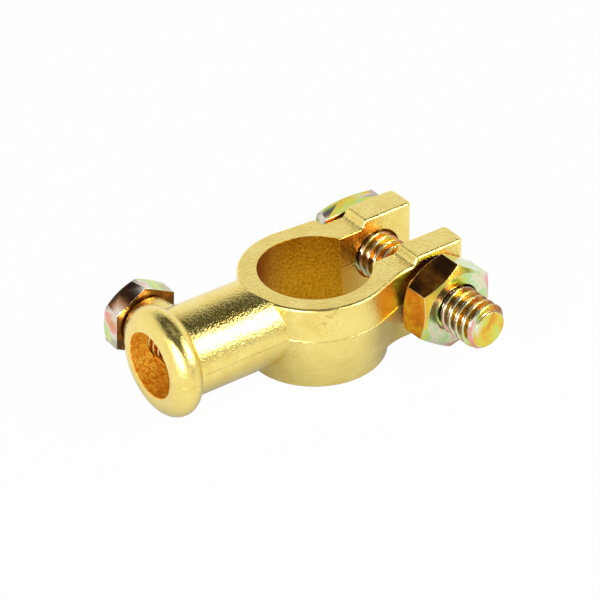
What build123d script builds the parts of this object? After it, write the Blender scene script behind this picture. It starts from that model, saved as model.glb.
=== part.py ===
from build123d import *

import os
from math import acos, atan2, cos, degrees, hypot, radians, sin, tan

# Battery terminal clamp: a cast brass jaw with a cable barrel, and its clamp bolt, nut and cable screw.
# Millimetres. The origin lies on the battery post's axis, at the clamp's underside. +Z is up the post,
# the cable barrel runs along -Y, the two ears of the jaw point along +Y, and the clamp bolt lies near X.

# ---- Battery post and the ring that grips it ----
ring_height = 14.65
post_radius = 8.9              # at the top face; the bore widens downwards with the post
post_taper = 1 / 18            # change of radius with height, 1 in 9 on the diameter
ring_wall = 3.4                # outside of the upper half at the parting plane, less the post's radius
parting_share = 0.6212         # height of the parting plane, as a share of the ring's height
parting_step = 0.06            # ledge left where the two mould halves met
foot_step = 0.03               # finer ledge left round the ring below the ears
upper_draft = 3.6              # degrees, on the upper mould half
lower_draft = 7.2
top_edge_round = 0.45          # round the ring's top, the pads' slopes and the pads' tops
base_edge_round = 0.35
slot_edge_round = 0.25

# ---- Clamp bolt and nut, which sit askew in the holes ----
bolt_radius = 3.85
bolt_yaw = 3.2                 # degrees from X towards +Y
bolt_dip = 1.8                 # degrees below X
bolt_offset = 0.05             # bolt axis beside the holes' axis, at the middle of the slot
bolt_past_nut = 7.1            # length of thread that stands out of the nut
bolt_tip_chamfer = 0.75
head_width = 11.2
head_thickness = 3.2
head_lift = 0.6                # the head's underside stands this far off the ear
head_dome_radius = 5.4
head_dome_angle = 20.0
nut_width = 13.0
nut_thickness = 5.5
nut_turn = 26.5                # degrees
nut_seat_gap = 0.14
thread_clearance = 0.05
hex_chamfer_angle = 30.0
hex_face_share = 0.93          # flat face of a nut or head, as a share of its width
nut_bore_bevel = 0.3

# ---- Jaw arms and ears ----
slot_width = 8.4
nut_ear_wall = 4.85            # thickness of the ear under the nut
head_ear_wall = 5.2
ear_past_bolt = 6.8            # from the bolt holes' axis to the ears' ends
ear_underside = 2.45
nut_wall_run = 2.2             # the nut side's slanting wall meets the ear this far before the pad
head_arm_angle = 4.3           # degrees round the ring where the far straight wall leaves it
head_shoulder_gap = 1.15       # from the square head to the step in the far arm that stops it turning
arm_overlap = 1.8              # how far the ring's drafted half runs into the nut side's ear
nut_blend_reach = 1.63         # the blend in that corner runs this far each way
shoulder_round = 1.1
shoulder_corner = 0.6
ear_round_outer = 1.0
ear_round_inner = 0.8

# ---- Bolt holes through the ears ----
bolt_set_off = 6.35            # from the post's bore to the holes' axis
hole_gap_inside = 0.45         # from the bolt to the hole's wall, at the slot
hole_gap_outside = 0.75        # the same at an ear's outer face

# ---- Raised pads on the ears ----
pad_height = 1.42
pad_before_bolt = 2.25         # from the edge of the pad's top to the bolt holes' axis
pad_slope_run = 0.7
pad_foot_round = 0.8

# ---- Cable barrel ----
cable_radius = 5.3
barrel_wall = 1.76
bead_set_off = 19.2            # from the post's bore to the middle of the lip
bead_pitch_gap = 0.65          # from the cable bore to the middle of the lip's section
bead_half_height = 2.92
bead_half_width = 2.5
bead_drop = 0.18               # the lip's middle lies this far under the bore's
cable_bore_floor = 2.2         # from the ring's outside to the end of the cable bore
mouth_round = 0.6
tube_in_bead = 1.7             # how far the plain tube runs into the lip
saddle_set_in = 0.05           # the crest's foot lies this far inside the ring's rounded top edge
saddle_slope = 0.9

# ---- Cable screw, which leans in its boss ----
screw_radius = 3.1
screw_length = 9.6
screw_yaw = 2.5                # degrees from X towards +Y
screw_dip = 4.5                # degrees below X
screw_head_width = 10.8
screw_head_thickness = 3.5
screw_seat_gap = 0.05
screw_turn = 29.8              # degrees
screw_tip_chamfer = 0.5
screw_face_share = 0.95

# ---- Screw boss on the barrel ----
boss_to_bead = 3.65            # from the middle of the lip to the boss's axis
boss_wall = 1.4
boss_height = 2.89             # from the barrel's side to the boss's face
boss_edge_round = 0.4
boss_root_round = 0.8
tapped_mouth_bevel = 0.25

ring_radius = post_radius + ring_wall
parting_height = parting_share * ring_height   # the bores of barrel and ears are centred on it too
ring_top_radius = ring_radius - (ring_height - parting_height) * tan(radians(upper_draft))
post_base_radius = post_radius + post_taper * ring_height
slot_half = slot_width / 2
nut_ear_face = slot_half + nut_ear_wall
head_ear_face = slot_half + head_ear_wall
bolt_station = post_radius + bolt_set_off
ear_end = bolt_station + ear_past_bolt
pad_start = bolt_station - pad_before_bolt
pad_top = ring_height + pad_height
nut_wall_end = pad_start - nut_wall_run
corner_reach = hypot(nut_ear_face, nut_wall_end)
nut_arm_angle = degrees(atan2(nut_wall_end, nut_ear_face) - acos(ring_radius / corner_reach))
nut_arm_blend = nut_blend_reach / tan(radians(nut_arm_angle / 2))
arm_depth = parting_height - ear_underside
lower_radius = ring_radius + parting_step
bolt_middle = bolt_station + bolt_offset
shoulder_end = bolt_station - head_width / 2 - head_shoulder_gap
cable_bore_end = -ring_radius - cable_bore_floor
barrel_radius = cable_radius + barrel_wall
bead_centre = -post_radius - bead_set_off
boss_station = bead_centre + boss_to_bead
boss_radius = screw_radius + boss_wall
boss_face = barrel_radius + boss_height
bolt_lean = radians(hypot(bolt_yaw, bolt_dip))
screw_lean = radians(hypot(screw_yaw, screw_dip))
head_seat = head_ear_face + head_lift
nut_face_radius = hex_face_share * nut_width / 2
screw_seat = boss_radius * sin(screw_lean) + screw_seat_gap


def near(items, x, y, z=0.0):
    """The vertex or edge whose centre is closest to a point."""
    return items.sort_by_distance(Vector(x, y, z))[0]


def tangent_point(radius, angle, side):
    """Point of the ring's circle where a wall leaves it; side is +1 by the nut, -1 by the bolt head."""
    return (side * radius * cos(radians(angle)), radius * sin(radians(angle)))


def wall_x(radius, angle, y):
    """Distance from the middle of the slot to a straight wall that leaves the ring at an angle."""
    return (radius - y * sin(radians(angle))) / cos(radians(angle))


def wall_y(radius, angle, x):
    """Where that wall reaches a given distance from the middle of the slot."""
    return (radius - x * cos(radians(angle))) / sin(radians(angle))


def nut_seat():
    """Where the nut's inner face lies along the bolt: clear of the ear, and of the arm beside it."""
    off_ear = nut_ear_face / cos(bolt_lean) + nut_face_radius * sin(bolt_lean)
    beside = wall_x(lower_radius, nut_arm_angle, bolt_middle - nut_face_radius)
    off_arm = beside - nut_face_radius * sin(radians(bolt_yaw))
    return max(off_ear, off_arm) + nut_seat_gap


def ring_plan(radius):
    """Ring and arms at the parting plane, with the arms' straight walls run on past the ears."""
    past_end = 1.1 * ear_end
    start = tangent_point(radius, nut_arm_angle, 1)
    finish = tangent_point(radius, head_arm_angle, -1)
    walls = Polyline(
        start,
        (wall_x(radius, nut_arm_angle, past_end), past_end),
        (-wall_x(radius, head_arm_angle, past_end), past_end),
        finish,
    )
    back = ThreePointArc(finish, (0, -radius), start)
    return make_face(walls + back)


def ears_plan():
    """The two ears seen from above, from inside the ring's wall to their rounded ends."""
    root = post_radius / 2
    plan = Sketch()
    for face in (-head_ear_face, nut_ear_face):
        side = face / abs(face)
        middle = Pos((face + side * slot_half) / 2, (root + ear_end) / 2)
        ear = middle * Rectangle(abs(face) - slot_half, ear_end - root)
        ear = fillet(near(ear.vertices(), face, ear_end), ear_round_outer)
        plan += fillet(near(ear.vertices(), side * slot_half, ear_end), ear_round_inner)
    return plan


def mould_half(radius, depth, draft, up):
    """One half of the jaw, from the parting plane (Z = 0 here): drafted ring and arms, upright ears."""
    direction = (0, 0, up)
    reach = 2 * radius
    nut_side_end = wall_y(radius, nut_arm_angle, nut_ear_face) + arm_overlap
    kept = Pos(reach / 2, nut_side_end - reach) * Rectangle(reach, 2 * reach)
    kept += Pos(-reach / 2, shoulder_end - reach) * Rectangle(reach, 2 * reach)
    jaw = extrude(ring_plan(radius), depth, dir=direction, taper=draft)
    jaw = jaw & extrude(kept, depth, dir=direction)
    jaw = jaw + extrude(ears_plan(), depth, dir=direction)
    jaw = jaw - Pos(0, reach / 2, 0) * Box(slot_width, reach, 2 * depth)
    middle = up * depth / 2
    mean_radius = radius - depth / 2 * tan(radians(draft))
    blends = [
        (nut_ear_face, wall_y(mean_radius, nut_arm_angle, nut_ear_face), nut_arm_blend),
        (-wall_x(mean_radius, head_arm_angle, shoulder_end), shoulder_end, shoulder_round),
        (-head_ear_face, shoulder_end, shoulder_corner),
    ]
    for x, y, size in blends:
        jaw = fillet(near(jaw.edges(), x, y, middle), size)
    return Pos(0, 0, parting_height) * jaw


def on_slot(edge):
    """True for an edge of the slot between the ears."""
    middle = edge.center()
    return abs(middle.X) < slot_half + 0.01 and middle.Y > -1


def pads():
    """The raised pad on each ear, with its sloping front."""
    foot_line = pad_start - pad_slope_run
    profile = Polyline(
        (foot_line, parting_height),
        (ear_end, parting_height),
        (ear_end, pad_top),
        (pad_start, pad_top),
        (foot_line, ring_height),
        close=True,
    )
    across = extrude(Plane.YZ * make_face(profile), 2 * head_ear_face, both=True)
    return across & extrude(ears_plan(), 2 * ring_height)


def ring_foot():
    """The ring's short foot below the ears."""
    top_radius = lower_radius - arm_depth * tan(radians(lower_draft)) - foot_step
    base_radius = top_radius - ear_underside * tan(radians(lower_draft))
    foot = Pos(0, 0, ear_underside / 2) * Cone(base_radius, top_radius, ear_underside)
    return foot - Pos(0, ear_end / 2, ear_underside / 2) * Box(slot_width, ear_end, ear_underside)


def boss_and_tube():
    """The barrel's plain tube with the boss for the cable screw grown out of its side."""
    tube_end = bead_centre - tube_in_bead
    length = -post_radius - tube_end
    tube = Pos(0, tube_end + length / 2, parting_height) * Rot(90, 0, 0) * Cylinder(barrel_radius, length)
    boss = Rot(0, 90, 0) * Cylinder(boss_radius, boss_face)
    boss = Pos(-boss_face / 2, boss_station, parting_height) * boss
    joined = tube + boss
    root = joined.edges().filter_by(GeomType.BSPLINE).filter_by(lambda edge: edge.center().X < 0)
    joined = fillet(root, boss_root_round)
    return fillet(joined.edges().group_by(Axis.X)[0], boss_edge_round)


def bead():
    """The rolled lip round the barrel's mouth, left narrow inside for the cable bore to open."""
    section = Pos(cable_radius + bead_pitch_gap, bead_centre) * Ellipse(bead_half_height, bead_half_width)
    bore_radius = cable_radius - 2 * bead_drop
    section = section - Pos(bore_radius / 2, bead_centre) * Rectangle(bore_radius, 4 * bead_half_width)
    section = fillet(section.vertices().group_by(Axis.Y)[0], mouth_round)
    return Pos(0, 0, parting_height - bead_drop) * revolve(section, Axis.Y)


def barrel():
    """Cable barrel, its crest sloped off above the ring's top face, before the bore."""
    rise = 2 * barrel_radius
    foot = ring_top_radius - top_edge_round - saddle_set_in
    saddle = Polyline(
        (0, ring_height),
        (foot, ring_height),
        (foot + rise / saddle_slope, ring_height + rise),
        (0, ring_height + rise),
        close=True,
    )
    crest_cut = revolve(Plane.XZ * make_face(saddle), Axis.Z)
    return boss_and_tube() + bead() - crest_cut


def step_foot(edge):
    """True for the inside corner where a pad's sloping front stands on the arm."""
    middle = edge.center()
    return abs(middle.Z - ring_height) < 0.01 and abs(middle.Y - pad_start + pad_slope_run) < 0.1


def top_outline(edge):
    """True for the outer edges of the ring's top face, the pads' slopes and the pads' tops."""
    middle = edge.center()
    level = edge.bounding_box().size.Z < 0.001
    if middle.Z < ring_height - 0.01 or on_slot(edge):
        return False
    if middle.Y < -post_radius and abs(middle.X) < boss_face:
        return False
    if level and ring_height + 0.01 < middle.Z < pad_top - 0.01:
        return False
    inboard = abs(middle.X) < min(nut_ear_face, head_ear_face) - 0.5
    across = level and middle.Y > pad_start - 2 * pad_slope_run and inboard
    return not (across and middle.Z < ring_height + 0.01)


def ring_base(edge):
    """True for the outer edge of the ring's underside."""
    return abs(edge.center().Z) < 0.01 and edge.geom_type == GeomType.CIRCLE


def slot_top(edge):
    """True for the slot's two top edges in front of the pads."""
    return abs(edge.center().Z - ring_height) < 0.01 and on_slot(edge) and edge.geom_type == GeomType.LINE


def screw_place():
    """Local Z runs along the cable screw, from its head to its tip, with Z = 0 at the boss's face."""
    middle = Pos(-boss_face, boss_station, parting_height)
    return middle * Rot(0, 0, screw_yaw) * Rot(0, 90 + screw_dip, 0) * Rot(0, 0, 90)


def tapped_hole():
    """The hole in the boss, leaning with the screw, and the bevel round its mouth."""
    radius = screw_radius + thread_clearance
    bevel = Cone(radius + 3 * tapped_mouth_bevel, radius - tapped_mouth_bevel, 4 * tapped_mouth_bevel)
    return screw_place() * (Cylinder(radius, 2 * boss_face) + bevel)


def bolt_hole(side, face):
    """The flared hole through one ear, run on past the ear's outer face."""
    reach = ring_radius - slot_half
    flare = (hole_gap_outside - hole_gap_inside) / (face - slot_half)
    inside = bolt_radius + hole_gap_inside
    middle = Pos(side * (slot_half + reach / 2), bolt_station, parting_height)
    return middle * Rot(0, side * 90, 0) * Cone(inside, inside + flare * reach, reach)


def holes():
    """Everything cut out of the casting."""
    post = Pos(0, 0, ring_height / 2) * Cone(post_base_radius, post_radius, ring_height)
    depth = cable_bore_end - (bead_centre - 2 * bead_half_width)
    cable = Rot(90, 0, 0) * Cylinder(cable_radius, depth)
    cable = Pos(0, cable_bore_end - depth / 2, parting_height) * cable
    return [post, cable, bolt_hole(1, nut_ear_face), bolt_hole(-1, head_ear_face), tapped_hole()]


def clamp_body():
    """The one-piece casting."""
    upper = mould_half(ring_radius, ring_height - parting_height, upper_draft, 1) + pads()
    lower = mould_half(lower_radius, arm_depth, lower_draft, -1) + ring_foot()
    body = upper + lower + barrel()
    body = fillet(body.edges().filter_by(step_foot), pad_foot_round)
    body = fillet(body.edges().filter_by(top_outline), top_edge_round)
    body = fillet(body.edges().filter_by(ring_base), base_edge_round)
    for cut in holes():
        body = body - cut
    return fillet(body.edges().filter_by(slot_top), slot_edge_round)


def blunt_cone(flat_radius, reach, slope):
    """A blunt cone standing on its small end, that trims a head's corners as a die would."""
    profile = Polyline(
        (0, 0),
        (flat_radius, 0),
        (flat_radius + reach, reach * slope),
        (flat_radius + reach, reach * slope + reach),
        (0, reach * slope + reach),
        close=True,
    )
    return revolve(Plane.XZ * make_face(profile), Axis.Z)


def hexagon(width, thickness, turn, share):
    """A hexagonal prism standing on Z = 0, its corners trimmed at that end."""
    prism = Rot(0, 0, turn) * extrude(RegularPolygon(width / 2, 6, major_radius=False), thickness)
    return prism & blunt_cone(share * width / 2, width, tan(radians(hex_chamfer_angle)))


def bolt_place():
    """Local Z runs along the clamp bolt, from its head to its nut; local X stays level."""
    middle = Pos(0, bolt_middle, parting_height)
    return middle * Rot(0, 0, bolt_yaw) * Rot(0, 90 + bolt_dip, 0) * Rot(0, 0, 90)


def clamp_bolt():
    """Square-headed bolt; its thread is finer than this model shows."""
    bolt_end = nut_seat() + nut_thickness + bolt_past_nut
    length = bolt_end + head_seat
    shank = Pos(0, 0, bolt_end - length / 2) * Cylinder(bolt_radius, length)
    shank = chamfer(shank.edges().group_by(Axis.Z)[-1], bolt_tip_chamfer)
    head = Pos(0, 0, -head_seat - head_thickness / 2) * Box(head_width, head_width, head_thickness)
    dome = blunt_cone(head_dome_radius, head_width, tan(radians(head_dome_angle)))
    head = head & Pos(0, 0, -head_seat - head_thickness) * dome
    return bolt_place() * (head + shank)


def clamp_nut():
    """Hexagon nut, its bore bevelled at both ends."""
    bore_radius = bolt_radius + thread_clearance
    nut = hexagon(nut_width, nut_thickness, nut_turn, hex_face_share)
    far_end = blunt_cone(nut_face_radius, nut_width, tan(radians(hex_chamfer_angle)))
    nut = nut & Pos(0, 0, nut_thickness) * Rot(180, 0, 0) * far_end
    nut = nut - Pos(0, 0, nut_thickness / 2) * Cylinder(bore_radius, nut_thickness)
    circles = nut.edges().filter_by(GeomType.CIRCLE)
    rims = circles.filter_by(lambda edge: abs(edge.radius - bore_radius) < 0.01)
    return bolt_place() * Pos(0, 0, nut_seat()) * chamfer(rims, nut_bore_bevel)


def cable_screw():
    """Hexagon-headed screw that bites on the cable; its thread is finer than this model shows."""
    shank = Pos(0, 0, screw_length / 2) * Cylinder(screw_radius, screw_length)
    shank = chamfer(shank.edges().group_by(Axis.Z)[-1], screw_tip_chamfer)
    head = hexagon(screw_head_width, screw_head_thickness, screw_turn, screw_face_share)
    return screw_place() * Pos(0, 0, -screw_seat) * (shank + Pos(0, 0, -screw_head_thickness) * head)


os.makedirs("parts", exist_ok=True)
export_step(clamp_body(), "parts/clamp_body.step")
export_step(clamp_bolt(), "parts/clamp_bolt.step")
export_step(clamp_nut(), "parts/clamp_nut.step")
export_step(cable_screw(), "parts/cable_screw.step")
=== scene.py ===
import math

import bmesh
import bpy
from mathutils import Euler, Matrix, Vector


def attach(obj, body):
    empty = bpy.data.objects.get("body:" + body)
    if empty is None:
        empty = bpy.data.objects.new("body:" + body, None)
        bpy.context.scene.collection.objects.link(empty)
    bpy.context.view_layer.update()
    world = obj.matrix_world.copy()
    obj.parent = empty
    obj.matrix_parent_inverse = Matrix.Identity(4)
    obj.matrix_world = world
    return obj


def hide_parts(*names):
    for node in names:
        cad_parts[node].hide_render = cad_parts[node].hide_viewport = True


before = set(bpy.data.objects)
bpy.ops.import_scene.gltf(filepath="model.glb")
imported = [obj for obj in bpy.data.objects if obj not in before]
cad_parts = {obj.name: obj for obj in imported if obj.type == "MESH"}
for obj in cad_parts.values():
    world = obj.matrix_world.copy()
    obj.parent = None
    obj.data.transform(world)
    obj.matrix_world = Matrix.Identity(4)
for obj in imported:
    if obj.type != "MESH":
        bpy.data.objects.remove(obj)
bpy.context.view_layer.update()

MM = 0.001

# ---- Camera: a long lens, a little under half a metre from the clamp ----
CAMERA_AZIMUTH = math.radians(54.76)
CAMERA_ELEVATION = math.radians(33.66)
CAMERA_ROLL = math.radians(-1.03)
CAMERA_DISTANCE = 450.0 * MM
CAMERA_TARGET = Vector((-1.99, -1.44, 8.15)) * MM
SENSOR_WIDTH = 36.0
CAMERA_LENS = SENSOR_WIDTH * 2906.89 / 600.0  # focal length in pixels over the frame's width

# ---- Pinch bolt, the same sizes as its CAD node ----
BOLT_MIDDLE = Vector((0.0, 15.30, 9.10)) * MM
BOLT_YAW = math.radians(3.2)
BOLT_DIP = math.radians(1.8)
BOLT_RADIUS = 3.85 * MM
BOLT_PITCH = 1.5 * MM
BOLT_HEAD_SEAT = -10.0 * MM
BOLT_END = 22.20 * MM
BOLT_TIP_CHAMFER = 0.75 * MM
BOLT_PLAIN = 4.0 * MM

# ---- Cable screw, the same sizes as its CAD node ----
SCREW_MOUTH = Vector((-9.95, -24.45, 9.10)) * MM
SCREW_YAW = math.radians(2.5)
SCREW_DIP = math.radians(4.5)
SCREW_RADIUS = 3.1 * MM
SCREW_PITCH = 1.27 * MM
SCREW_SEAT = -0.454 * MM
SCREW_LENGTH = 9.6 * MM
SCREW_TIP_CHAMFER = 0.5 * MM
SCREW_PLAIN = 0.4 * MM

# ---- Threads of both ----
THREAD_DEPTH = 0.6134  # of the pitch
CREST_FLAT = 0.16  # of half a pitch
FLANK = 0.56  # of half a pitch
STEPS_AROUND = 72
ROWS_PER_TURN = 16
REACH_INTO_HEAD = 0.2 * MM
SHARP_EDGE = math.radians(30)

# ---- Places on the casting where its finish changes, and where painted light and shade go ----
POST_BASE = 9.714 * MM  # radius of the post bore at the foot
POST_TAPER = 1 / 18  # change of that radius with height
CABLE_RADIUS = 5.3 * MM
BARREL_ROOT = -14.0 * MM  # the cable bore lies beyond this, towards the lip
AXIS_HEIGHT = 9.1 * MM  # of the barrel, and of the line where the mould halves met
SLOT_HALF = 4.2 * MM
SPECK_PATCH = Vector((10.6, -5.6, 12.9)) * MM
SPECK_PATCH_CORE = 0.5 * MM
SPECK_PATCH_RADIUS = 3.2 * MM

# ---- Brass: its grains in cycles a metre, and how deep each one is ----
TONE_SCALE = 300.0
PEBBLE_SCALE = 2400.0
PEBBLE_DEPTH = 0.085 * MM
SAND_SCALE = 1250.0
SAND_DEPTH = 0.3 * MM
PARTING_WIDTH = 0.16 * MM
PARTING_DEPTH = 0.04 * MM
BRASS_EDGE = 0.2 * MM

# ---- Zinc plate: each piece's film at its start, and its lean with the way a face points, partly painted light and shade ----
BOLT_FILM = (0.56, (-0.13, -0.42, -0.05))
NUT_FILM = (0.67, (-0.12, 0.26, -0.27))
SCREW_FILM = (0.34, (-0.10, -0.32, 0.44))
FILM_DRIFT = 0.64
FILM_SCALE = 210.0
DRAWN_SCALE = 6500.0
DRAWN_DEPTH = 0.010 * MM
ZINC_EDGE = 0.18 * MM

# ---- Light ----
LAMP_DISTANCE = 0.7
FLOOR_HALF = 2.5
FLOOR_WHITE = 0.97  # share of plain white where the eye meets the floor
FLOOR_IN_GLOSS = 0.95  # the same in reflections
FLOOR_COVER = 0.75  # how much of that white the clamp takes away close by
FLOOR_COVER_REACH = 10.0 * MM

COLOUR_MIX = {"data_type": "RGBA"}


def linear(hex_colour):
    """sRGB hex to linear RGBA."""
    channels = []
    for i in (1, 3, 5):
        c = int(hex_colour[i : i + 2], 16) / 255
        channels.append(c / 12.92 if c <= 0.04045 else ((c + 0.055) / 1.055) ** 2.4)
    return (*channels, 1.0)


def grey(level):
    return (level, level, level, 1.0)


def add(tree, kind, settings=None, stops=None, **inputs):
    """Adds one node: its own settings, a ramp's stops, and its inputs as values or (node, output) links."""
    node = tree.nodes.new(kind)
    for name, value in (settings or {}).items():
        setattr(node, name, value)
    if stops:
        points = node.color_ramp.elements
        while len(points) < len(stops):
            points.new(0.5)
        for point, (place, colour) in zip(points, stops):
            point.position = place
            point.color = colour
    for name, value in inputs.items():
        key = int(name[1:]) if name[0] == "_" and name[1:].isdigit() else name.replace("_", " ")
        socket = node.inputs[key]
        if isinstance(value, tuple) and len(value) == 2 and isinstance(value[0], bpy.types.Node):
            tree.links.new(value[0].outputs[value[1]], socket)
        else:
            socket.default_value = value
    return node


def new_material(name):
    material = bpy.data.materials.new(name)
    material.use_nodes = True
    material.node_tree.nodes.clear()
    return material, material.node_tree


def camera_directions():
    """Unit vectors of the view: towards the camera, to the right and up."""
    sin_a, cos_a = math.sin(CAMERA_AZIMUTH), math.cos(CAMERA_AZIMUTH)
    sin_e, cos_e = math.sin(CAMERA_ELEVATION), math.cos(CAMERA_ELEVATION)
    back = Vector((sin_a * cos_e, -cos_a * cos_e, sin_e))
    level = Vector((cos_a, sin_a, 0.0))
    upright = back.cross(level)
    sin_r, cos_r = math.sin(CAMERA_ROLL), math.cos(CAMERA_ROLL)
    right = cos_r * level + sin_r * upright
    up = cos_r * upright - sin_r * level
    return back, right, up


def make_camera():
    back, right, up = camera_directions()
    data = bpy.data.cameras.new("camera")
    data.sensor_width = SENSOR_WIDTH
    data.lens = CAMERA_LENS
    data.clip_start = 0.01
    data.clip_end = 10.0
    camera = bpy.data.objects.new("camera", data)
    turn = Matrix((right, up, back)).transposed().to_4x4()
    camera.matrix_world = Matrix.Translation(CAMERA_TARGET + back * CAMERA_DISTANCE) @ turn
    bpy.context.scene.collection.objects.link(camera)
    bpy.context.scene.camera = camera


def post_bore_mask(tree, spot, axes):
    """1 on the wall of the post bore: the distance from its axis, carried to one height of the taper."""
    flat = add(tree, "ShaderNodeVectorMath", {"operation": "MULTIPLY"}, _0=spot, _1=(1.0, 1.0, 0.0))
    reach = add(tree, "ShaderNodeVectorMath", {"operation": "LENGTH"}, _0=(flat, "Vector"))
    taper = add(tree, "ShaderNodeMath", {"operation": "MULTIPLY"}, _0=(axes, "Z"), _1=POST_TAPER)
    level = add(tree, "ShaderNodeMath", {"operation": "ADD"}, _0=(reach, "Value"), _1=(taper, "Value"))
    return add(tree, "ShaderNodeMath", {"operation": "LESS_THAN"}, _0=(level, "Value"), _1=POST_BASE + 0.05 * MM)


def cable_bore_mask(tree, spot, axes):
    """1 inside the cable bore, round the barrel's axis."""
    off_axis = add(tree, "ShaderNodeVectorMath", {"operation": "SUBTRACT"}, _0=spot, _1=(0.0, 0.0, AXIS_HEIGHT))
    across = add(tree, "ShaderNodeVectorMath", {"operation": "MULTIPLY"}, _0=(off_axis, "Vector"), _1=(1.0, 0.0, 1.0))
    away = add(tree, "ShaderNodeVectorMath", {"operation": "LENGTH"}, _0=(across, "Vector"))
    near = add(tree, "ShaderNodeMath", {"operation": "LESS_THAN"}, _0=(away, "Value"), _1=CABLE_RADIUS + 0.12 * MM)
    behind = add(tree, "ShaderNodeMath", {"operation": "LESS_THAN"}, _0=(axes, "Y"), _1=BARREL_ROOT)
    return add(tree, "ShaderNodeMath", {"operation": "MULTIPLY"}, _0=(near, "Value"), _1=(behind, "Value"))


def painted_jaw_reflection_mask(tree, axes):
    """Where the painted reflection between the jaws goes: most on the slot's walls beside the post bore, fading
    towards the ears.
    """
    half = add(tree, "ShaderNodeMath", {"operation": "ABSOLUTE"}, _0=(axes, "X"))
    between = add(tree, "ShaderNodeMath", {"operation": "LESS_THAN"}, _0=(half, "Value"), _1=SLOT_HALF + 0.08 * MM)
    ahead = add(tree, "ShaderNodeMath", {"operation": "GREATER_THAN"}, _0=(axes, "Y"), _1=0.0)
    fade = add(
        tree, "ShaderNodeMapRange", Value=(axes, "Y"), From_Min=9.0 * MM, From_Max=16.0 * MM, To_Min=0.85, To_Max=0.0,
    )
    painted_jaw_reflection = add(tree, "ShaderNodeMath", {"operation": "MULTIPLY"}, _0=(between, "Value"), _1=(ahead, "Value"))
    return add(tree, "ShaderNodeMath", {"operation": "MULTIPLY"}, _0=(painted_jaw_reflection, "Value"), _1=(fade, "Result"))


def speck_patch_mask(tree, spot, sand):
    """Darker specks round one place under the rim."""
    off_mark = add(tree, "ShaderNodeVectorMath", {"operation": "DISTANCE"}, _0=spot, _1=SPECK_PATCH)
    inside = add(
        tree, "ShaderNodeMapRange", Value=(off_mark, "Value"), From_Min=SPECK_PATCH_CORE, From_Max=SPECK_PATCH_RADIUS,
        To_Min=0.5, To_Max=0.0,
    )
    speckle = add(tree, "ShaderNodeMath", {"operation": "GREATER_THAN"}, _0=(sand, "Fac"), _1=0.53)
    return add(tree, "ShaderNodeMath", {"operation": "MULTIPLY"}, _0=(inside, "Result"), _1=(speckle, "Value"))


def parting_line(tree, axes, post_bore):
    """1 along the line where the mould halves met, on all but the reamed post bore."""
    rise = add(tree, "ShaderNodeMath", {"operation": "SUBTRACT"}, _0=(axes, "Z"), _1=AXIS_HEIGHT)
    gap = add(tree, "ShaderNodeMath", {"operation": "ABSOLUTE"}, _0=(rise, "Value"))
    ridge = add(
        tree, "ShaderNodeMapRange", Value=(gap, "Value"), From_Min=0.0, From_Max=PARTING_WIDTH, To_Min=1.0, To_Max=0.0,
    )
    reamed = add(tree, "ShaderNodeMath", {"operation": "SUBTRACT"}, _0=1.0, _1=(post_bore, "Value"))
    return add(tree, "ShaderNodeMath", {"operation": "MULTIPLY"}, _0=(ridge, "Result"), _1=(reamed, "Value"))


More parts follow.
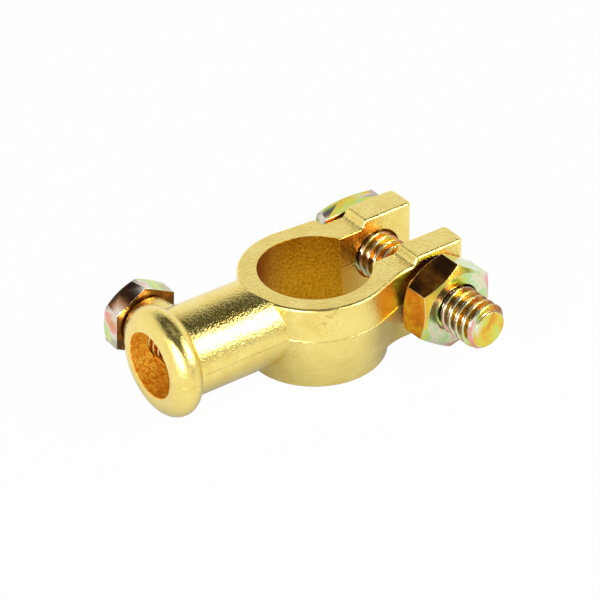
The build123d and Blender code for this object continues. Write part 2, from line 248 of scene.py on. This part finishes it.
def cast_brass():
    """Yellow brass, cast in two mould halves and tumbled: semi-bright, with a pebbly skin that breaks up highlights.

    The post bore keeps a finer, duller grain, and a darker gold that is painted shade. The cored cable bore is left as
    it was cast, rough and deep orange; that orange is partly painted reflection between its walls.
    """
    material, tree = new_material("brass_cast_tumbled")
    place = add(tree, "ShaderNodeTexCoord")
    spot = (place, "Object")
    axes = add(tree, "ShaderNodeSeparateXYZ", Vector=spot)
    post_bore = post_bore_mask(tree, spot, axes)
    cable_bore = cable_bore_mask(tree, spot, axes)
    painted_jaw_reflection = painted_jaw_reflection_mask(tree, axes)

    # Patches 3 mm wide, and crumpled sand marks of 0.8 mm in the cored bore. The skin's pebbles are really about
    # 0.2 mm across: they are drawn at 0.4 mm, so that they show.
    tone = add(tree, "ShaderNodeTexNoise", Vector=spot, Scale=TONE_SCALE, Detail=4.0, Roughness=0.6)
    pebble = add(tree, "ShaderNodeTexNoise", Vector=spot, Scale=PEBBLE_SCALE, Detail=3.0, Roughness=0.7)
    sand = add(
        tree, "ShaderNodeTexNoise", Vector=spot, Scale=SAND_SCALE, Detail=5.0, Roughness=0.65, Distortion=1.0,
    )
    speck_patch = speck_patch_mask(tree, spot, sand)

    skin = add(
        tree, "ShaderNodeValToRGB", stops=[(0.30, linear("#F2D676")), (0.70, linear("#FBE78C"))], Fac=(tone, "Fac"),
    )
    # Painted shade: the post bore is coloured a darker, browner gold for the shade and reflections inside it
    painted_light_tint = add(
        tree, "ShaderNodeValToRGB", stops=[(0.35, linear("#B07606")), (0.65, linear("#DEA01E"))], Fac=(pebble, "Fac"),
    )
    # The cored bore's deep orange: partly its cast skin, partly painted reflection and light between its walls
    cored = add(
        tree, "ShaderNodeValToRGB", stops=[(0.42, linear("#E88400")), (0.60, linear("#FFD040"))], Fac=(sand, "Fac"),
    )
    with_post = add(
        tree, "ShaderNodeMix", COLOUR_MIX, _0=(post_bore, "Value"), _6=(skin, "Color"), _7=(painted_light_tint, "Color"),
    )
    with_core = add(
        tree, "ShaderNodeMix", COLOUR_MIX, _0=(cable_bore, "Value"), _6=(with_post, 2), _7=(cored, "Color"),
    )
    # Painted reflection: between the jaws the skin is painted a deeper gold, for the light the two walls throw on each
    # other
    with_painted_jaw_reflection = add(
        tree, "ShaderNodeMix", COLOUR_MIX, _0=(painted_jaw_reflection, "Value"), _6=(with_core, 2), _7=linear("#EAAC34"),
    )
    colour = add(
        tree, "ShaderNodeMix", COLOUR_MIX, _0=(speck_patch, "Value"), _6=(with_painted_jaw_reflection, 2), _7=linear("#C8983C"),
    )

    smooth = add(tree, "ShaderNodeMapRange", Value=(tone, "Fac"), From_Min=0.3, From_Max=0.7, To_Min=0.06, To_Max=0.11)
    dull = add(
        tree, "ShaderNodeMath", {"operation": "MULTIPLY_ADD"}, _0=(post_bore, "Value"), _1=0.14, _2=(smooth, "Result"),
    )
    rough = add(
        tree, "ShaderNodeMath", {"operation": "MULTIPLY_ADD"}, _0=(cable_bore, "Value"), _1=0.26, _2=(dull, "Value"),
    )
    # Oxide in the cored bore scatters light more than metal does
    bare = add(tree, "ShaderNodeMath", {"operation": "MULTIPLY_ADD"}, _0=(cable_bore, "Value"), _1=-0.6, _2=1.0)

    edge = add(tree, "ShaderNodeBevel", {"samples": 4}, Radius=BRASS_EDGE)
    pebbled = add(
        tree, "ShaderNodeBump", Height=(pebble, "Fac"), Strength=1.0, Distance=PEBBLE_DEPTH, Normal=(edge, "Normal"),
    )
    line = parting_line(tree, axes, post_bore)
    lined = add(
        tree, "ShaderNodeBump", Height=(line, "Value"), Strength=1.0, Distance=PARTING_DEPTH,
        Normal=(pebbled, "Normal"),
    )
    depth = add(tree, "ShaderNodeMath", {"operation": "MULTIPLY"}, _0=(cable_bore, "Value"), _1=(sand, "Fac"))
    sanded = add(
        tree, "ShaderNodeBump", Height=(depth, "Value"), Strength=1.0, Distance=SAND_DEPTH, Normal=(lined, "Normal"),
    )
    shader = add(
        tree, "ShaderNodeBsdfPrincipled", Base_Color=(colour, 2), Metallic=(bare, "Value"), Roughness=(rough, "Value"),
        Normal=(sanded, "Normal"),
    )
    add(tree, "ShaderNodeOutputMaterial", Surface=(shader, "BSDF"))
    return material


def yellow_zinc(piece, start, lean):
    """Bright zinc plate on steel, yellow passivated: a thin film that shifts between gold, green, pink and brown.

    The film of each piece starts at its own thickness, and shifts with the way each face points; that shift is partly
    the film's own colour and partly painted light and shade on each face.
    """
    material, tree = new_material("zinc_plate_yellow_passivated_" + piece)
    place = add(tree, "ShaderNodeTexCoord")
    spot = (place, "Object")
    # Colour by the way a face points: partly the film, partly painted light and shade
    film_and_painted_light_by_facing = add(tree, "ShaderNodeVectorMath", {"operation": "DOT_PRODUCT"}, _0=(place, "Normal"), _1=lean)
    # Drifts over 3 to 6 mm
    drift = add(
        tree, "ShaderNodeTexNoise", Vector=spot, Scale=FILM_SCALE, Detail=3.0, Roughness=0.6, Distortion=0.4,
    )
    spread = add(
        tree, "ShaderNodeMath", {"operation": "MULTIPLY_ADD"}, _0=(drift, "Fac"), _1=FILM_DRIFT,
        _2=start - FILM_DRIFT / 2,
    )
    film = add(tree, "ShaderNodeMath", {"operation": "ADD"}, _0=(film_and_painted_light_by_facing, "Value"), _1=(spread, "Value"))
    colour = add(
        tree,
        "ShaderNodeValToRGB",
        stops=[
            (0.06, linear("#C8A070")),
            (0.22, linear("#7A5232")),
            (0.34, linear("#D88A34")),
            (0.43, linear("#EAC244")),
            (0.51, linear("#D8DC5C")),
            (0.57, linear("#BCDE9C")),
            (0.63, linear("#E6E4C0")),
            (0.69, linear("#EEACAC")),
            (0.76, linear("#DE9858")),
            (0.88, linear("#7C5648")),
            (1.00, linear("#A8B078")),
        ],
        Fac=(film, "Value"),
    )

    # Paler sharp edges: a painted edge highlight, partly film worn off by handling
    edge = add(tree, "ShaderNodeBevel", {"samples": 4}, Radius=ZINC_EDGE)
    shape = add(tree, "ShaderNodeNewGeometry")
    square = add(
        tree, "ShaderNodeVectorMath", {"operation": "DOT_PRODUCT"}, _0=(edge, "Normal"), _1=(shape, "True Normal"),
    )
    edge_highlight_and_wear = add(
        tree, "ShaderNodeMapRange", Value=(square, "Value"), From_Min=0.99, From_Max=0.93, To_Min=0.0, To_Max=0.75,
    )
    painted_light_tint = add(
        tree, "ShaderNodeMix", COLOUR_MIX, _0=(edge_highlight_and_wear, "Result"), _6=(colour, "Color"), _7=linear("#EFEBDD"),
    )
    rough = add(tree, "ShaderNodeMapRange", Value=(drift, "Fac"), From_Min=0.3, From_Max=0.7, To_Min=0.14, To_Max=0.24)
    # Draw marks along the bar it was cut from, 0.15 mm apart
    along = add(tree, "ShaderNodeVectorMath", {"operation": "MULTIPLY"}, _0=spot, _1=(0.12, 1.0, 1.0))
    drawn = add(tree, "ShaderNodeTexNoise", Vector=(along, "Vector"), Scale=DRAWN_SCALE, Detail=2.0, Roughness=0.6)
    marks = add(
        tree, "ShaderNodeBump", Height=(drawn, "Fac"), Strength=1.0, Distance=DRAWN_DEPTH, Normal=(edge, "Normal"),
    )
    shader = add(
        tree, "ShaderNodeBsdfPrincipled", Base_Color=(painted_light_tint, 2), Metallic=1.0, Roughness=(rough, "Result"),
        Normal=(marks, "Normal"),
    )
    add(tree, "ShaderNodeOutputMaterial", Surface=(shader, "BSDF"))
    return material


def thread_radius(radius, pitch, phase):
    """Rounded 60 degree thread, as a rolled thread has: full radius at the crest, least at the root."""
    away = abs((phase + 0.5) % 1.0 - 0.5) * 2.0
    down = min(1.0, max(0.0, (away - CREST_FLAT) / FLANK))
    return radius - THREAD_DEPTH * pitch * (0.5 - 0.5 * math.cos(math.pi * down))


def threaded_rod(bm, radius, pitch, start, end, tip_chamfer, plain_end):
    """A right-hand threaded rod along local Z, closed at both ends, with a plain stretch at its start."""
    rows = max(2, round((end - start) / pitch * ROWS_PER_TURN))
    rings = []
    for row in range(rows + 1):
        z = start + (end - start) * row / rows
        ring = []
        for step in range(STEPS_AROUND):
            turn = step / STEPS_AROUND
            r = radius if z < plain_end else thread_radius(radius, pitch, z / pitch - turn)
            r = min(r, radius - tip_chamfer + max(0.0, end - z))
            ring.append(bm.verts.new((r * math.cos(2 * math.pi * turn), r * math.sin(2 * math.pi * turn), z)))
        rings.append(ring)
    for low, high in zip(rings, rings[1:]):
        for i in range(STEPS_AROUND):
            j = (i + 1) % STEPS_AROUND
            bm.faces.new((low[i], low[j], high[j], high[i]))
    bm.faces.new(list(reversed(rings[0])))
    bm.faces.new(rings[-1])


def head_of(node, place, seat):
    """A copy of a CAD fastener's head alone, in the fastener's own frame."""
    bm = bmesh.new()
    bm.from_mesh(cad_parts[node].data)
    bm.transform(place.inverted())
    shank = [face for face in bm.faces if any(v.co.z > seat + 0.05 * MM for v in face.verts)]
    bmesh.ops.delete(bm, geom=shank, context="FACES")
    bmesh.ops.remove_doubles(bm, verts=bm.verts, dist=0.0005 * MM)
    return bm


def lying(middle, yaw, dip):
    """A place whose local Z runs along a bolt or screw, from its head to its tip."""
    turn = Euler((0, 0, yaw)).to_matrix() @ Euler((0, math.pi / 2 + dip, 0)).to_matrix()
    return Matrix.Translation(middle) @ (turn @ Euler((0, 0, math.pi / 2)).to_matrix()).to_4x4()


def fastener(name, node, body, place, seat, radius, pitch, end, tip_chamfer, plain, material):
    """A threaded fastener that stands for its plain CAD node."""
    bm = head_of(node, place, seat)
    threaded_rod(bm, radius, pitch, seat - REACH_INTO_HEAD, end, tip_chamfer, seat + plain)
    bm.transform(place)
    mesh = bpy.data.meshes.new(name)
    bm.to_mesh(mesh)
    bm.free()
    mesh.materials.append(material)
    mesh.shade_smooth()
    mesh.set_sharp_from_angle(angle=SHARP_EDGE)
    piece = bpy.data.objects.new(name, mesh)
    bpy.context.scene.collection.objects.link(piece)
    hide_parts(node)
    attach(piece, body)


def floor_material():
    """Matt pale floor that shows white to the eye, and stays dark in reflections where the clamp covers it."""
    material, tree = new_material("floor_pale_matt")
    light = add(tree, "ShaderNodeLightPath")
    glossy = add(tree, "ShaderNodeMath", {"operation": "MULTIPLY"}, _0=(light, "Is Glossy Ray"), _1=FLOOR_IN_GLOSS)
    seen = add(tree, "ShaderNodeMath", {"operation": "MAXIMUM"}, _0=(light, "Is Camera Ray"), _1=(glossy, "Value"))
    share = add(tree, "ShaderNodeMath", {"operation": "MULTIPLY"}, _0=(seen, "Value"), _1=FLOOR_WHITE)
    cover = add(tree, "ShaderNodeAmbientOcclusion", {"samples": 8}, Distance=FLOOR_COVER_REACH)
    lost = add(
        tree, "ShaderNodeMath", {"operation": "MULTIPLY_ADD"}, _0=(cover, "AO"), _1=FLOOR_COVER, _2=-FLOOR_COVER,
    )
    level = add(
        tree, "ShaderNodeMath", {"operation": "MULTIPLY_ADD"}, _0=(light, "Is Glossy Ray"), _1=(lost, "Value"), _2=1.0,
    )
    matt = add(tree, "ShaderNodeBsdfDiffuse", Color=linear("#F4F4F4"))
    white = add(tree, "ShaderNodeEmission", Color=grey(1.0), Strength=(level, "Value"))
    mixed = add(tree, "ShaderNodeMixShader", Fac=(share, "Value"), _1=(matt, "BSDF"), _2=(white, "Emission"))
    add(tree, "ShaderNodeOutputMaterial", Surface=(mixed, "Shader"))
    return material


def make_floor():
    mesh = bpy.data.meshes.new("floor")
    bm = bmesh.new()
    bmesh.ops.create_grid(bm, x_segments=2, y_segments=2, size=FLOOR_HALF)
    bm.to_mesh(mesh)
    bm.free()
    mesh.materials.append(floor_material())
    floor = bpy.data.objects.new("floor", mesh)
    bpy.context.scene.collection.objects.link(floor)


def make_world():
    """Studio surroundings: a white sweep, highest behind the bolt's head, under a dark ceiling with one pale panel."""
    world = bpy.data.worlds.new("studio")
    bpy.context.scene.world = world
    world.use_nodes = True
    tree = world.node_tree
    tree.nodes.clear()
    place = add(tree, "ShaderNodeTexCoord")
    lean = add(
        tree, "ShaderNodeVectorMath", {"operation": "DOT_PRODUCT"}, _0=(place, "Generated"), _1=(0.082, -0.057, 1.0),
    )
    fall = add(
        tree,
        "ShaderNodeValToRGB",
        stops=[
            (0.00, grey(0.97)),
            (0.50, grey(0.93)),
            (0.62, grey(0.88)),
            (0.66, grey(0.35)),
            (0.70, grey(0.07)),
            (0.93, grey(0.03)),
            (0.97, grey(0.30)),
            (1.00, grey(0.60)),
        ],
        Fac=(lean, "Value"),
    )
    # A dim gap low in the sweep, beyond the nut
    axes = add(tree, "ShaderNodeSeparateXYZ", Vector=(place, "Generated"))
    low = add(tree, "ShaderNodeMapRange", Value=(axes, "Z"), From_Min=0.14, From_Max=0.20, To_Min=1.0, To_Max=0.0)
    side = add(
        tree, "ShaderNodeVectorMath", {"operation": "DOT_PRODUCT"}, _0=(place, "Generated"), _1=(0.866, 0.5, 0.0),
    )
    facing = add(tree, "ShaderNodeMapRange", Value=(side, "Value"), From_Min=0.80, From_Max=0.90)
    gap = add(tree, "ShaderNodeMath", {"operation": "MULTIPLY"}, _0=(low, "Result"), _1=(facing, "Result"))
    room = add(tree, "ShaderNodeMix", COLOUR_MIX, _0=(gap, "Value"), _6=(fall, "Color"), _7=grey(0.15))
    light = add(tree, "ShaderNodeLightPath")
    colour = add(tree, "ShaderNodeMix", COLOUR_MIX, _0=(light, "Is Camera Ray"), _6=(room, 2), _7=grey(1.0))
    sky = add(tree, "ShaderNodeBackground", Color=(colour, 2), Strength=1.0)
    add(tree, "ShaderNodeOutputWorld", Surface=(sky, "Background"))


def make_softbox(name, direction, width, height, power):
    """A soft lamp on a ray from the clamp, facing it."""
    data = bpy.data.lights.new(name, "AREA")
    data.shape = "RECTANGLE"
    data.size = width
    data.size_y = height
    data.energy = power
    lamp = bpy.data.objects.new(name, data)
    ray = Vector(direction).normalized()
    lamp.location = ray * LAMP_DISTANCE
    lamp.rotation_mode = "QUATERNION"
    lamp.rotation_quaternion = ray.to_track_quat("Z", "Y")
    bpy.context.scene.collection.objects.link(lamp)


make_camera()
make_world()
make_floor()
make_softbox("softbox_right", direction=(0.679, 0.475, 0.530), width=0.30, height=0.32, power=3.0)
make_softbox("softbox_front", direction=(0.45, -0.85, 0.30), width=0.25, height=0.20, power=3.8)

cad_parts["clamp_body"].material_slots[0].material = cast_brass()
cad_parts["clamp_nut"].material_slots[0].material = yellow_zinc("nut", *NUT_FILM)
fastener(
    "pinch_bolt", "clamp_bolt", "bolt", lying(BOLT_MIDDLE, BOLT_YAW, BOLT_DIP), BOLT_HEAD_SEAT, BOLT_RADIUS,
    BOLT_PITCH, BOLT_END, BOLT_TIP_CHAMFER, BOLT_PLAIN, yellow_zinc("bolt", *BOLT_FILM),
)
fastener(
    "cable_set_screw", "cable_screw", "screw", lying(SCREW_MOUTH, SCREW_YAW, SCREW_DIP), SCREW_SEAT, SCREW_RADIUS,
    SCREW_PITCH, SCREW_SEAT + SCREW_LENGTH, SCREW_TIP_CHAMFER, SCREW_PLAIN, yellow_zinc("screw", *SCREW_FILM),
)

bpy.context.scene.view_settings.view_transform = "Standard"
